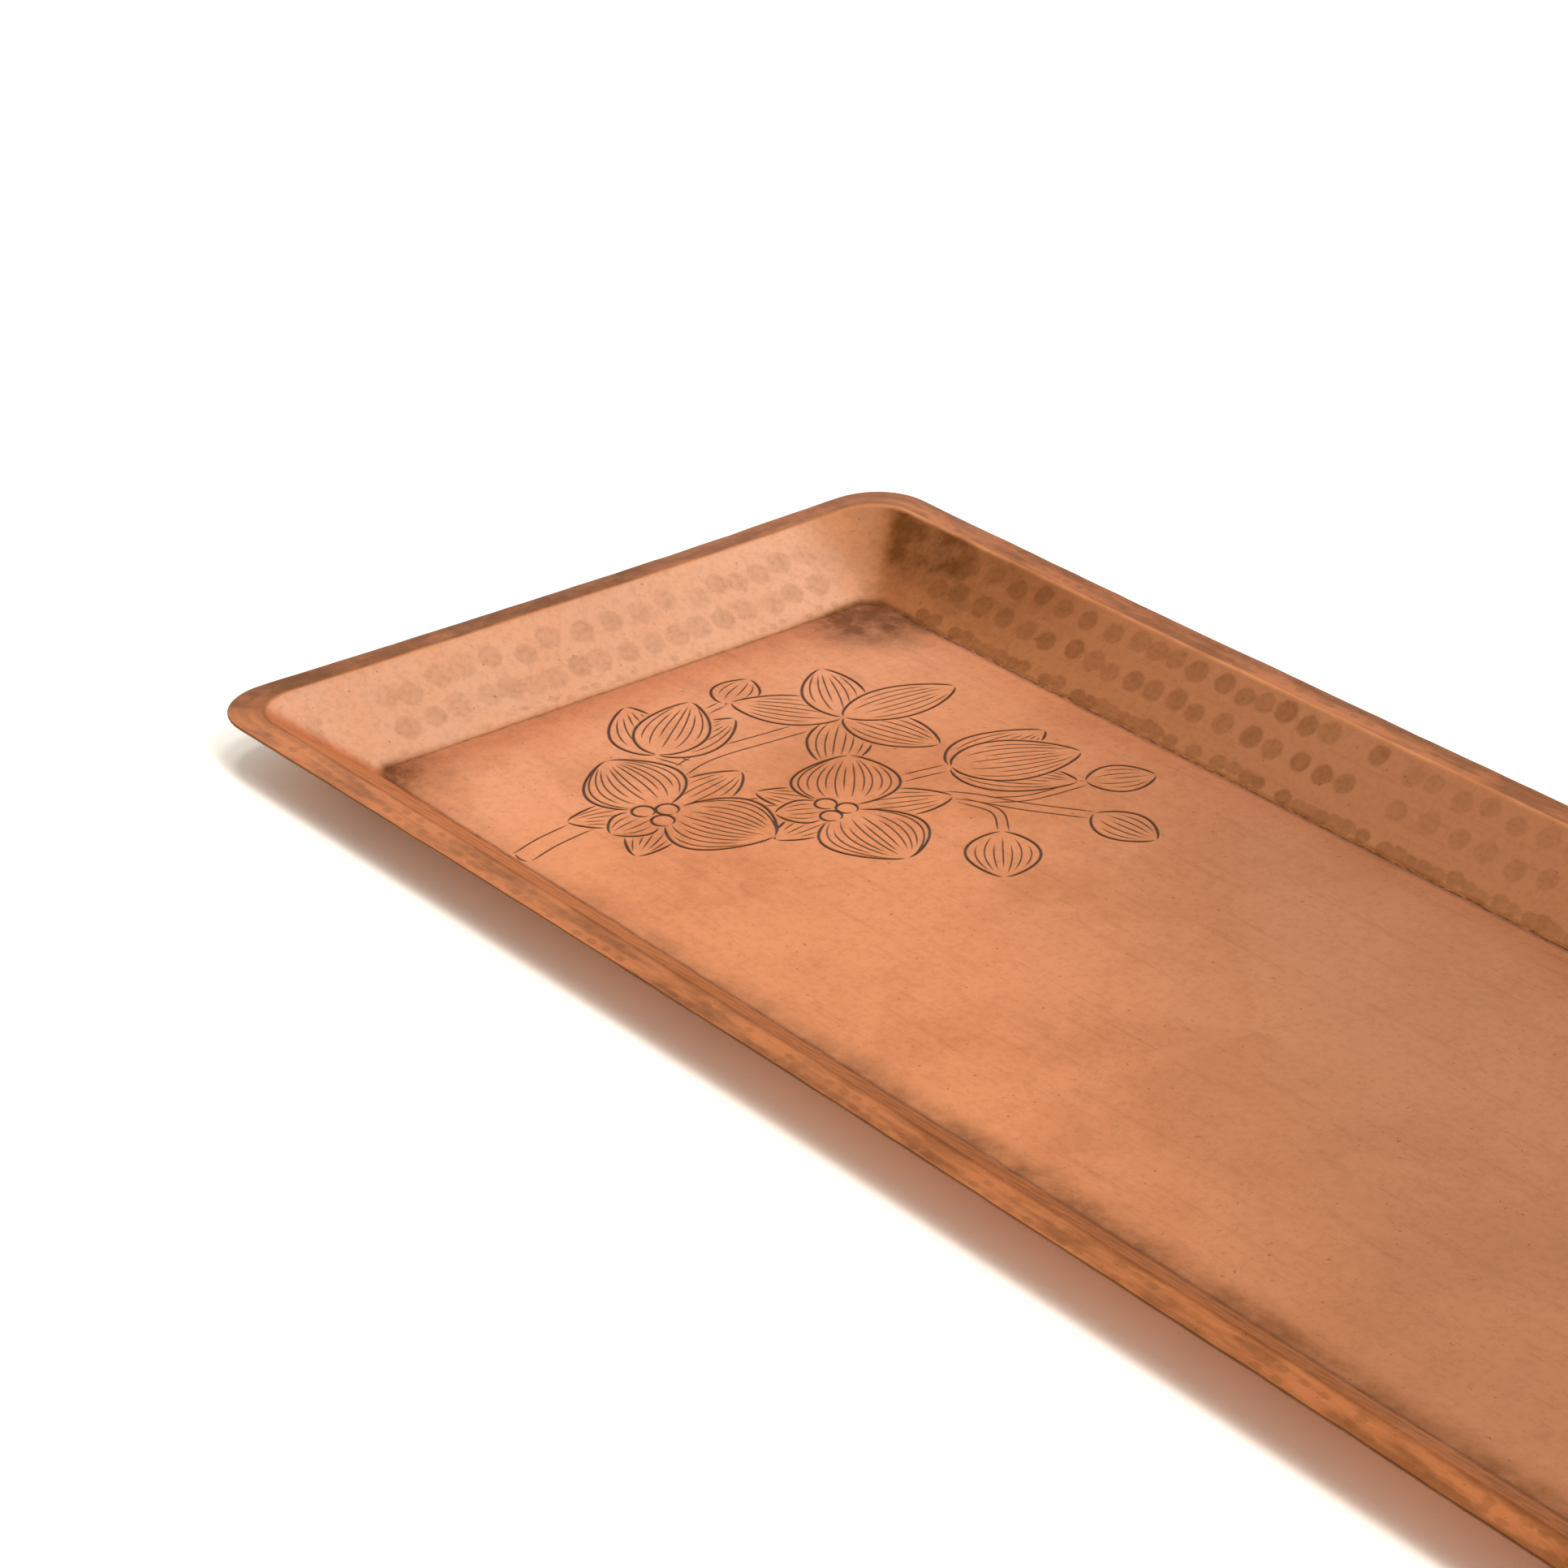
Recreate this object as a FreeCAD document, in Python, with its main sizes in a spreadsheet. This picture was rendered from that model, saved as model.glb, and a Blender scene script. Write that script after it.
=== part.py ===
import FreeCAD, Part
import math
import os
from Sketcher import Constraint

# A long rectangular serving tray, raised from one sheet of copper: a flat floor, a sloping wall
# all round it and a narrow flat lip turned out from the top of the wall.
#
# Frame, in millimetres: origin on the resting plane, under the middle of the tray; X runs along
# the tray, Y across it and Z up. The underside of the floor is at z = 0.

DOCUMENT = "copper_tray"
SHEET = "Dimensions"

# The driving dimensions, each one an aliased cell of the spreadsheet.
DIMENSIONS = [
    ("floor_length", 620.0, "flat floor inside, along X"),
    ("floor_width", 220.0, "flat floor inside, across Y"),
    ("rim_height", 24.5, "resting plane to the top of the lip"),
    ("sheet_thickness", 1.0, "copper sheet"),
    ("wall_run", 30.5, "plan width of the sloping wall"),
    ("lip_width", 11.5, "flat lip, from the wall's ridge to the cut edge"),
    ("floor_corner", 7.5, "corner radius in plan, floor"),
    ("ridge_corner", 18.5, "corner radius in plan, top of the wall"),
    ("lip_corner", 23.5, "corner radius in plan, cut edge of the lip"),
    ("floor_bend", 2.5, "inside radius of the bend between floor and wall"),
    ("ridge_bend", 1.2, "inside radius of the bend between wall and lip"),
    ("edge_round", 0.3, "filed edge of the lip"),
]

UNDER_LIP = "Dimensions.rim_height - Dimensions.sheet_thickness"

# The sheet keeps its thickness round a bend when its lower outline is this much larger in plan.
BEND_SHIFT = "Dimensions.sheet_thickness * tan(atan((" + UNDER_LIP + ") / Dimensions.wall_run) / 2)"

# Corners of a rounded rectangle, as the signs of x and y, anticlockwise from the first quadrant.
QUARTERS = [(1, 1), (-1, 1), (-1, -1), (1, -1)]
SAME_PLACE = 1e-4


def fill_sheet(doc):
    """Writes the driving dimensions into the spreadsheet, one row each, with their aliases."""
    sheet = doc.addObject("Spreadsheet::Sheet", SHEET)
    for row, (alias, value, meaning) in enumerate(DIMENSIONS, start=1):
        sheet.set("A%d" % row, alias)
        sheet.set("B%d" % row, str(value))
        sheet.set("C%d" % row, meaning)
        sheet.setAlias("B%d" % row, alias)
    doc.recompute()


def origin_plane(body, role):
    """The body's own origin plane with that role."""
    return [feature for feature in body.Origin.OriginFeatures if feature.Role == role][0]


def rounded_rectangle(body, name, height, length, width, radius):
    """A closed rounded rectangle about the Z axis, at that height; every size is an expression."""
    doc = body.Document
    sketch = body.newObject("Sketcher::SketchObject", name)
    sketch.AttachmentSupport = [(origin_plane(body, "XY_Plane"), "")]
    sketch.MapMode = "FlatFace"
    sketch.setExpression("AttachmentOffset.Base.z", height)

    draw_sides_and_corners(sketch)
    constrain_outline(sketch)
    for label, size in (("Length", length), ("Width", width), ("Corner", radius)):
        sketch.setExpression("Constraints." + label, size)
    doc.recompute()
    return sketch


def draw_sides_and_corners(sketch):
    """Four sides and four corner arcs of about the right size, which the constraints then settle."""
    half_x, half_y, radius = 300.0, 100.0, 15.0
    inner_x, inner_y = half_x - radius, half_y - radius
    vector = FreeCAD.Vector
    sides = [
        (vector(inner_x, half_y, 0), vector(-inner_x, half_y, 0)),
        (vector(-half_x, inner_y, 0), vector(-half_x, -inner_y, 0)),
        (vector(-inner_x, -half_y, 0), vector(inner_x, -half_y, 0)),
        (vector(half_x, -inner_y, 0), vector(half_x, inner_y, 0)),
    ]
    for start, end in sides:
        sketch.addGeometry(Part.LineSegment(start, end), False)
    for quarter, (sign_x, sign_y) in enumerate(QUARTERS):
        centre = vector(sign_x * inner_x, sign_y * inner_y, 0)
        circle = Part.Circle(centre, vector(0, 0, 1), radius)
        from_angle = quarter * math.pi / 2
        sketch.addGeometry(Part.ArcOfCircle(circle, from_angle, from_angle + math.pi / 2), False)


def constrain_outline(sketch):
    """Ties four sides (geometry 0 to 3) and four corner arcs (4 to 7) into one centred outline."""
    start, end, centre, root = 1, 2, 3, -1
    for side in (0, 2):
        sketch.addConstraint(Constraint("Horizontal", side))
    for side in (1, 3):
        sketch.addConstraint(Constraint("Vertical", side))
    # Anticlockwise round the outline: each arc runs from the end of one side to the start of the next.
    for quarter in range(4):
        arc = 4 + quarter
        sketch.addConstraint(Constraint("Tangent", (quarter - 1) % 4, end, arc, start))
        sketch.addConstraint(Constraint("Tangent", arc, end, quarter, start))
    for arc in (5, 6, 7):
        sketch.addConstraint(Constraint("Equal", 4, arc))
    sketch.addConstraint(Constraint("Symmetric", 4, centre, 6, centre, root, start))
    named = [
        ("Length", Constraint("Distance", 3, start, 1, 600.0)),
        ("Width", Constraint("Distance", 0, start, 2, 200.0)),
        ("Corner", Constraint("Radius", 4, 15.0)),
    ]
    for label, constraint in named:
        sketch.renameConstraint(sketch.addConstraint(constraint), label)


def outline(body, name, height, reach, corner):
    """The floor's rounded rectangle, grown by reach on every side."""
    length = "Dimensions.floor_length + 2 * (%s)" % reach
    width = "Dimensions.floor_width + 2 * (%s)" % reach
    return rounded_rectangle(body, name, height, length, width, corner)


def loft(body, kind, name, first, second):
    """A ruled loft between two outlines, added to the body or taken out of it."""
    feature = body.newObject("PartDesign::" + kind, name)
    feature.Profile = first
    feature.Sections = [second]
    feature.Ruled = True
    body.Document.recompute()
    return feature


def edges_of_outline(shape, height, length):
    """Names of the edges that lie at that height on the outline of that overall length."""
    level = [
        edge
        for edge in shape.Edges
        if max(abs(edge.BoundBox.ZMin - height), abs(edge.BoundBox.ZMax - height)) < SAME_PLACE
    ]
    chain = [edge for edge in level if abs(edge.BoundBox.XMax - length / 2) < SAME_PLACE]
    for edge in chain:
        for other in level:
            if shares_vertex(edge, other) and not any(other.isSame(known) for known in chain):
                chain.append(other)
    return [
        "Edge%d" % number
        for number, edge in enumerate(shape.Edges, start=1)
        if any(edge.isSame(known) for known in chain)
    ]


def shares_vertex(edge, other):
    """True if the two edges meet at an end."""
    return any(a.isSame(b) for a in edge.Vertexes for b in other.Vertexes)


def fillet(body, name, height, reach, radius):
    """Rounds every edge of one outline of the latest feature."""
    base = body.Tip
    length = body.Document.getObject(SHEET).get("floor_length") + 2 * reach
    names = edges_of_outline(base.Shape, height, length)
    if len(names) != 2 * len(QUARTERS):
        raise RuntimeError("%s found %d edges" % (name, len(names)))
    feature = body.newObject("PartDesign::Fillet", name)
    feature.Base = (base, names)
    feature.setExpression("Radius", radius)
    body.Document.recompute()
    return feature


def make_tray(doc):
    """The whole tray: one sheet with a floor, a sloping wall and a turned-out lip."""
    body = doc.addObject("PartDesign::Body", "tray")
    body.Label = "tray"
    body.Placement = FreeCAD.Placement()

    floor_corner = "Dimensions.floor_corner"
    ridge_corner = "Dimensions.ridge_corner"
    lip_corner = "Dimensions.lip_corner"
    wall_run = "Dimensions.wall_run"

    foot = outline(body, "foot_outline", "0", BEND_SHIFT, floor_corner)
    under_ridge = outline(body, "under_ridge_outline", UNDER_LIP, wall_run + " + " + BEND_SHIFT, ridge_corner)
    loft(body, "AdditiveLoft", "wall_outside", foot, under_ridge)

    lip = body.newObject("PartDesign::Pad", "lip")
    lip.Profile = outline(body, "lip_outline", UNDER_LIP, wall_run + " + Dimensions.lip_width", lip_corner)
    lip.setExpression("Length", "Dimensions.sheet_thickness")
    doc.recompute()

    floor = outline(body, "floor_outline", "Dimensions.sheet_thickness", "0", floor_corner)
    ridge = outline(body, "ridge_outline", "Dimensions.rim_height", wall_run, ridge_corner)
    loft(body, "SubtractiveLoft", "wall_inside", floor, ridge)

    shift = (foot.getDatum("Length").Value - floor.getDatum("Length").Value) / 2
    round_bends_and_edges(body, shift)
    return body


def round_bends_and_edges(body, shift):
    """Rounds the two bends and the cut edge; a bend's two radii share a centre, so its sheet is even."""
    size = body.Document.getObject(SHEET)
    top = size.get("rim_height")
    under_top = top - size.get("sheet_thickness")
    wall = size.get("wall_run")
    lip = wall + size.get("lip_width")
    outer = " + Dimensions.sheet_thickness"
    fillet(body, "floor_bend_inside", size.get("sheet_thickness"), 0.0, "Dimensions.floor_bend")
    fillet(body, "floor_bend_outside", 0.0, shift, "Dimensions.floor_bend" + outer)
    fillet(body, "ridge_bend_over", top, wall, "Dimensions.ridge_bend" + outer)
    fillet(body, "ridge_bend_under", under_top, wall + shift, "Dimensions.ridge_bend")
    fillet(body, "lip_edge_over", top, lip, "Dimensions.edge_round")
    fillet(body, "lip_edge_under", under_top, lip, "Dimensions.edge_round")


def check(doc, bodies):
    """Stops if any object of the document failed, or if a sub-part is not one sound solid."""
    for item in doc.Objects:
        if "Invalid" in item.State or "Error" in item.State:
            raise RuntimeError("%s failed: %s" % (item.Name, item.State))
    for body in bodies:
        shape = body.Shape
        if shape.isNull() or not shape.isValid() or len(shape.Solids) != 1:
            raise RuntimeError("%s is not one valid solid" % body.Label)
        box = shape.optimalBoundingBox(True, False)
        print(
            "%s: %.2f x %.2f x %.2f mm, volume %.0f mm3"
            % (body.Label, box.XLength, box.YLength, box.ZLength, shape.Volume)
        )


def main():
    doc = FreeCAD.newDocument(DOCUMENT)
    fill_sheet(doc)
    bodies = [make_tray(doc)]
    doc.recompute()
    check(doc, bodies)
    os.makedirs("parts", exist_ok=True)
    for body in bodies:
        body.Shape.exportStep(os.path.join("parts", body.Label + ".step"))


main()
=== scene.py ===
import math
import random
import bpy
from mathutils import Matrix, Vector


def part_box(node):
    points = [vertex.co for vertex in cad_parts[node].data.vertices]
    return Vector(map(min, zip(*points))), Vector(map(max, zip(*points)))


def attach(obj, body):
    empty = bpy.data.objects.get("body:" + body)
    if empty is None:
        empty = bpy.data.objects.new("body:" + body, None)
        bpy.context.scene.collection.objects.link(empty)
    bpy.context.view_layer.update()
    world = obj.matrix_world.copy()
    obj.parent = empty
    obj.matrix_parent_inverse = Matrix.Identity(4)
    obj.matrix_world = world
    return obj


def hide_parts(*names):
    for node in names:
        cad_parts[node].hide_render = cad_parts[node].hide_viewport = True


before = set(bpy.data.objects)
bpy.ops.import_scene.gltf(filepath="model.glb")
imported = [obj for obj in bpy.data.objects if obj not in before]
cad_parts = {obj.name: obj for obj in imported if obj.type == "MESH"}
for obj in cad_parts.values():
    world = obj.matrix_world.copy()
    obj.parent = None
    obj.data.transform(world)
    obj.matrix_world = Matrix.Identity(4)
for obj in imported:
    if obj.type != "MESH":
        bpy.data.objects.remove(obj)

from types import SimpleNamespace

import bpy
import numpy as np
from mathutils import Vector, noise
from mathutils.geometry import delaunay_2d_cdt

# The looks of a hand-hammered, engraved copper tray: one closed mesh of one sheet.
# Lengths are in millimetres until the mesh is made; MM turns them into Blender's metres.
# Places on the floor are given as (u, v): u along the tray from its left end, v across from its
# near side, both from the edge of the flat floor.

MM = 0.001
random.seed(20)

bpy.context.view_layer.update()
tray_low, tray_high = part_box("tray")

# The sheet. RIM_REACH is how far the CAD lip reaches out from the edge of the flat floor. Wall and
# lip together stop short of it, because the corners swing out, and the rim lies WAVE_ROOM below
# the CAD's, because it rises and falls. So the visual model stays inside the CAD box.
RIM_REACH = 42.0
WAVE_ROOM = 0.4
FLOOR_X = tray_high.x / MM - RIM_REACH
FLOOR_Y = tray_high.y / MM - RIM_REACH
THICKNESS = 1.0
RIM_TOP = tray_high.z / MM - WAVE_ROOM
WALL_RUN = 29.4
LIP_WIDTH = 10.5
LIP_REACH = WALL_RUN + LIP_WIDTH
FLOOR_BEND = 2.5
RIDGE_BEND = 2.2
EDGE_ROUND = 0.3
FLOOR_CORNER, RIDGE_CORNER, LIP_CORNER = 7.5, 18.5, 23.5
SLOPE = math.atan2(RIM_TOP - THICKNESS, WALL_RUN)
FLOOR_TANGENT = FLOOR_BEND * math.tan(SLOPE / 2)
RIDGE_TANGENT = RIDGE_BEND * math.tan(SLOPE / 2)
WALL_LENGTH = WALL_RUN / math.cos(SLOPE)

# How each side of the rim strays from a straight line, as raised sheet does: the outward shift of
# its ridge and of its cut edge at mid-side and at the corners, and how suddenly it swings out.
WAVES = {
    "near": {"ridge": (-1.2, 1.3, 3.0), "edge": (-1.1, 2.0, 1.6)},
    "far": {"ridge": (-1.0, 1.4, 5.0), "edge": (-0.5, 2.0, 4.0)},
    "left": {"ridge": (0.5, 2.4, 2.0), "edge": (-1.1, 2.0, 2.0)},
    "right": {"ridge": (0.0, 1.6, 2.0), "edge": (-0.8, 2.0, 2.0)},
}

# How far the floor's bumps rise and fall about their middle height.
FLOOR_BUMP = 0.15
# The share of a dent's depth that bulges out on the underside.
DENT_THROUGH = 0.6

# Steps in the mesh round the rim: along a long side, along a short side and in a corner. Then up
# the rim, above and below: round each bend, up the wall and across the lip.
LONG_STEPS, SHORT_STEPS, CORNER_STEPS = 380, 122, 13
UPPER_STEPS, UNDER_STEPS = (4, 22, 7), (3, 6, 3)
# Points scattered over the floor: their spacing above and below, and their distance from its edge.
UPPER_SPACING, UNDER_SPACING = 4.2, 12.0
EDGE_GAP = 2.2
# How far up the rim the inner floor counts as being, for its colours: clear of the fold.
FLOOR_UP = -6.0
# Faces that meet at a greater angle than this are shaded with a sharp edge between them.
SHARP_ANGLE = math.radians(21)


# ---------------------------------------------------------------- the sheet in section


class Ring:
    """One line round the tray: its reach, height and normal in section, and how far up it lies."""

    def __init__(self, reach, height, tilt, up, upper):
        self.reach = reach
        self.height = height
        self.out = -math.sin(tilt)
        self.rise = math.cos(tilt)
        self.up = up
        self.upper = upper


def upper_line(tilt_steps, wall_steps, lip_steps):
    """Points (reach, height, tilt, up) from the floor's edge to the lip's edge on the upper side."""
    points = []
    for k in range(tilt_steps + 1):
        tilt = SLOPE * k / tilt_steps
        reach = -FLOOR_TANGENT + FLOOR_BEND * math.sin(tilt)
        height = THICKNESS + FLOOR_BEND * (1 - math.cos(tilt))
        points.append((reach, height, tilt, FLOOR_BEND * (tilt - SLOPE / 2)))
    foot = points[-1]
    head_reach = WALL_RUN + RIDGE_TANGENT - RIDGE_BEND * math.sin(SLOPE)
    head_height = RIM_TOP - RIDGE_BEND * (1 - math.cos(SLOPE))
    head_up = WALL_LENGTH - RIDGE_BEND * SLOPE / 2
    for k in range(1, wall_steps + 1):
        t = k / (wall_steps + 1)
        reach = foot[0] + t * (head_reach - foot[0])
        height = foot[1] + t * (head_height - foot[1])
        points.append((reach, height, SLOPE, foot[3] + t * (head_up - foot[3])))
    for k in range(tilt_steps + 1):
        tilt = SLOPE * (1 - k / tilt_steps)
        reach = WALL_RUN + RIDGE_TANGENT - RIDGE_BEND * math.sin(tilt)
        height = RIM_TOP - RIDGE_BEND * (1 - math.cos(tilt))
        points.append((reach, height, tilt, WALL_LENGTH + RIDGE_BEND * (SLOPE / 2 - tilt)))
    start = points[-1]
    for k in range(1, lip_steps + 1):
        reach = start[0] + (LIP_REACH - EDGE_ROUND - start[0]) * k / lip_steps
        points.append((reach, RIM_TOP, 0.0, start[3] + reach - start[0]))
    return points


def section():
    """The rings from the floor's upper side, over the rim, to the floor's underside."""
    rings = [Ring(*point, upper=1.0) for point in upper_line(*UPPER_STEPS)]
    edge_up = rings[-1].up + 0.5
    top_round, bottom_round = RIM_TOP - EDGE_ROUND, RIM_TOP - THICKNESS + EDGE_ROUND
    for centre, turns in ((top_round, (30, 60, 90)), (bottom_round, (90, 135))):
        for angle in map(math.radians, turns):
            reach = LIP_REACH - EDGE_ROUND + EDGE_ROUND * math.sin(angle)
            height = centre + EDGE_ROUND * math.cos(angle)
            rings.append(Ring(reach, height, -angle, edge_up, upper=0.5))
    for reach, height, tilt, up in reversed(upper_line(*UNDER_STEPS)):
        under_reach = reach + THICKNESS * math.sin(tilt)
        under = Ring(under_reach, height - THICKNESS * math.cos(tilt), tilt, up, upper=0.0)
        under.out, under.rise = -under.out, -under.rise
        rings.append(under)
    return rings


# ---------------------------------------------------------------- the sheet in plan


def corner_radius(reach):
    """The radius of the sheet's corners in plan at a reach."""
    return float(np.interp(reach, [0, WALL_RUN, LIP_REACH], [FLOOR_CORNER, RIDGE_CORNER, LIP_CORNER]))


def outline(reach):
    """Points round the tray at a reach, counter-clockwise from the far right, and outward directions."""
    radius = corner_radius(reach)
    half_x, half_y = FLOOR_X + reach - radius, FLOOR_Y + reach - radius
    corners = [(1, 1), (-1, 1), (-1, -1), (1, -1)]
    points, outward = [], []
    for quarter, (sx, sy) in enumerate(corners):
        centre = np.array([sx * half_x, sy * half_y])
        for k in range(CORNER_STEPS + 1):
            angle = (quarter + k / CORNER_STEPS) * math.pi / 2
            out = np.array([math.cos(angle), math.sin(angle)])
            points.append(centre + radius * out)
            outward.append(out)
        length, steps = (2 * half_x, LONG_STEPS) if quarter % 2 == 0 else (2 * half_y, SHORT_STEPS)
        run = np.array([-out[1], out[0]])
        start = points[-1]
        for k in range(1, steps):
            points.append(start + run * length * k / steps)
            outward.append(out)
    return np.array(points), np.array(outward)


def strays(side, along, reach):
    """Outward shift of one side at shares 0 to 1 of the way from its middle to its corner."""
    lines = {}
    for line, (middle, corner, power) in WAVES[side].items():
        lines[line] = middle + (corner - middle) * along**power
    if reach <= WALL_RUN:
        return lines["ridge"] * max(reach, 0) / WALL_RUN
    return lines["ridge"] + (lines["edge"] - lines["ridge"]) * (reach - WALL_RUN) / LIP_WIDTH


def bent_outline(reach):
    """The outline at a reach, with its sides bent as on the real sheet."""
    points, outward = outline(reach)
    share_x, share_y = points[:, 0] / (FLOOR_X + reach), points[:, 1] / (FLOOR_Y + reach)
    along_x, along_y = np.abs(share_x), np.abs(share_y)
    shift_x = np.where(share_x < 0, strays("left", along_y, reach), strays("right", along_y, reach))
    shift_y = np.where(share_y < 0, strays("near", along_x, reach), strays("far", along_x, reach))
    return points + np.stack([shift_x * share_x, shift_y * share_y], axis=1), outward


def noise_at(x, y, size, seed):
    """Smooth noise of about -1 to 1 at plan points, with features of that size."""
    return np.array([noise.noise(Vector((a / size, b / size, seed))) for a, b in zip(x, y)])


def floor_bumps(x, y):
    """How far the floor stands up off the plane it rests on, which it never goes below."""
    return FLOOR_BUMP + FLOOR_BUMP * noise_at(x, y, size=75, seed=3.0)


# ---------------------------------------------------------------- hammer marks


# Each side of the rim: its outward direction, the direction along it, and its distance from the
# middle of the tray to the edge of the flat floor.
SIDES = {
    "far": ((0, 1, 0), (1, 0, 0), FLOOR_Y),
    "near": ((0, -1, 0), (1, 0, 0), FLOOR_Y),
    "left": ((-1, 0, 0), (0, 1, 0), FLOOR_X),
    "right": ((1, 0, 0), (0, 1, 0), FLOOR_X),
}
UPWARD = np.array((0.0, 0.0, 1.0))


def up_the_rim(up):
    """The reach, height and steepness of the sheet at a distance up the wall and over the lip."""
    if up < WALL_LENGTH:
        return up * math.cos(SLOPE), THICKNESS + up * math.sin(SLOPE), SLOPE
    return WALL_RUN + up - WALL_LENGTH, RIM_TOP, 0.0


def on_side(side):
    """A function that gives the point and the two directions of the sheet on one side."""
    outward, run, edge = (np.array(part, float) for part in SIDES[side])

    def place(along, up):
        reach, height, steep = up_the_rim(up)
        centre = outward * (edge + reach) + run * along + UPWARD * height
        return centre, run, outward * math.cos(steep) + UPWARD * math.sin(steep)

    return place


def on_corner(sign_x, sign_y):
    """The same on one corner, where the place along it is an angle."""

    def place(angle, up):
        reach, height, steep = up_the_rim(up)
        radius = corner_radius(reach)
        outward = np.array((sign_x * math.cos(angle), sign_y * math.sin(angle), 0.0))
        run = np.array((-sign_x * math.sin(angle), sign_y * math.cos(angle), 0.0))
        middle = np.array((sign_x * (FLOOR_X + reach - radius), sign_y * (FLOOR_Y + reach - radius), height))
        return middle + outward * radius, run, outward * math.cos(steep) + UPWARD * math.sin(steep)

    return place


class Marks:
    """Hammer marks: each is an oval dent at a point of the sheet."""

    def __init__(self):
        self.ovals = []

    def row(self, place, span, up, spacing, size, dent, tone, keep=1.0, stagger=1.2):
        """A row of marks over a span; size is half the width and height, keep the share not skipped."""
        along = span[0] + spacing * random.random()
        while along < span[1]:
            scale = random.uniform(0.9, 1.08)
            height = up + random.uniform(-stagger, stagger)
            strength = random.uniform(0.55, 1.0)
            if random.random() < keep:
                half = (size[0] * scale, size[1] * scale)
                self.ovals.append((*place(along, height), half, dent * strength, tone * strength))
            along += spacing * random.uniform(0.8, 1.25)

    def on(self, points):
        """At points of the sheet: dent depth, how far inside a mark they are, and its tone.

        How far inside is 1 at a mark's middle, 0 at its edge and -1 outside.
        """
        depth = np.zeros(len(points))
        within = np.full(len(points), -1.0)
        tone = np.zeros(len(points))
        for centre, run, rise, half, dent, shade in self.ovals:
            near = np.nonzero(np.abs(points - centre).max(axis=1) < 2 * max(half))[0]
            offset = points[near] - centre
            inner = 1 - np.hypot(offset @ run / half[0], offset @ rise / half[1])
            depth[near] = np.maximum(depth[near], dent * np.clip(1 - (1 - inner) ** 2, 0, 1))
            tone[near] = np.where(inner > within[near], shade, tone[near])
            within[near] = np.maximum(within[near], inner)
        return depth, within, tone


def hammer():
    """All the marks: three rows up each wall, two in each corner and two along each lip.

    A row is given its distance up the rim, its spacing, and its marks' half sizes, dent and tone.
    """
    marks = Marks()
    round_mark, wide_mark, low_mark, lip_mark = (4.9, 4.7), (5.5, 5.2), (3.9, 3.1), (2.6, 1.5)
    along_x, along_y = FLOOR_X - 20, FLOOR_Y - 12
    turning_shallow = -FLOOR_X + 240
    deep, shallow = (-along_x, turning_shallow), (turning_shallow, along_x)
    long_walls = [("far", deep, 1.0), ("far", shallow, 0.5), ("near", deep, 0.8), ("near", shallow, 0.8)]
    for side, span, share in long_walls:
        place, low_tone = on_side(side), 1.1 * min(1, share + 0.3)
        marks.row(place, span, 3.4, 6.0, low_mark, 0.10 * share, low_tone, keep=0.9, stagger=0.9)
        marks.row(place, span, 16.5, 11.2, round_mark, 0.11 * share, share)
        marks.row(place, span, 29.5, 11.2, round_mark, 0.11 * share, share, keep=0.95)
    for side in ("left", "right"):
        place, span = on_side(side), (-along_y, along_y)
        marks.row(place, span, 3.2, 5.5, (2.2, 1.5), 0.05, 0.45, keep=0.7)
        marks.row(place, span, 12.5, 10.6, wide_mark, 0.10, 0.5)
        marks.row(place, span, 25.0, 11.0, wide_mark, 0.09, 0.42, keep=0.9, stagger=2.2)
    for signs in ((1, 1), (-1, 1), (-1, -1), (1, -1)):
        place, quarter = on_corner(*signs), (0.1, math.pi / 2 - 0.1)
        marks.row(place, quarter, 9, 0.45, (3.0, 3.8), 0.06, 0.3, keep=0.8, stagger=2.5)
        marks.row(place, quarter, 23, 0.36, (3.0, 4.2), 0.06, 0.3, keep=0.8, stagger=3.0)
    for side, half in (("far", along_x), ("left", along_y), ("near", along_x), ("right", along_y)):
        place, span = on_side(side), (-half - 30, half + 30)
        marks.row(place, span, WALL_LENGTH + 3.4, 6.0, lip_mark, 0.05, 0.8, keep=0.6, stagger=0.5)
        marks.row(place, span, WALL_LENGTH + 7.6, 6.4, lip_mark, 0.06, 0.8, keep=0.6, stagger=0.7)
    return marks


# ---------------------------------------------------------------- engraving

# Widths of the engraved lines, the gap between a petal's veins, the length of a line's pointed
# ends, how fast a groove deepens and darkens in from its sides, and the step between its points.
OUTLINE_WIDTH, INNER_WIDTH, VEIN_WIDTH = 1.5, 1.0, 0.9
VEIN_SPACING = 3.3
POINTED_END = 5.0
GROOVE_STEEPNESS, GROOVE_DARKENING = 0.5, 2.6
STROKE_STEP = 1.1


def spline(points):
    """A smooth line through the points, as an array of points STROKE_STEP apart."""
    given = [np.array(p, float) for p in points]
    padded = [2 * given[0] - given[1]] + given + [2 * given[-1] - given[-2]]
    fine = []
    for a, b, c, d in zip(padded, padded[1:], padded[2:], padded[3:]):
        for t in np.linspace(0, 1, 12, endpoint=False):
            tangent_b, tangent_c = (c - a) / 2, (d - b) / 2
            start = (2 * t**3 - 3 * t**2 + 1) * b + (t**3 - 2 * t**2 + t) * tangent_b
            fine.append(start + (3 * t**2 - 2 * t**3) * c + (t**3 - t**2) * tangent_c)
    fine.append(given[-1])
    return resample(np.array(fine))


def resample(line):
    """The same line with its points evenly spaced, about STROKE_STEP apart."""
    lengths = np.concatenate([[0], np.cumsum(np.hypot(*np.diff(line, axis=0).T))])
    count = max(3, round(lengths[-1] / STROKE_STEP) + 1)
    places = np.linspace(0, lengths[-1], count)
    return np.stack([np.interp(places, lengths, line[:, k]) for k in (0, 1)], axis=1)


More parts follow.
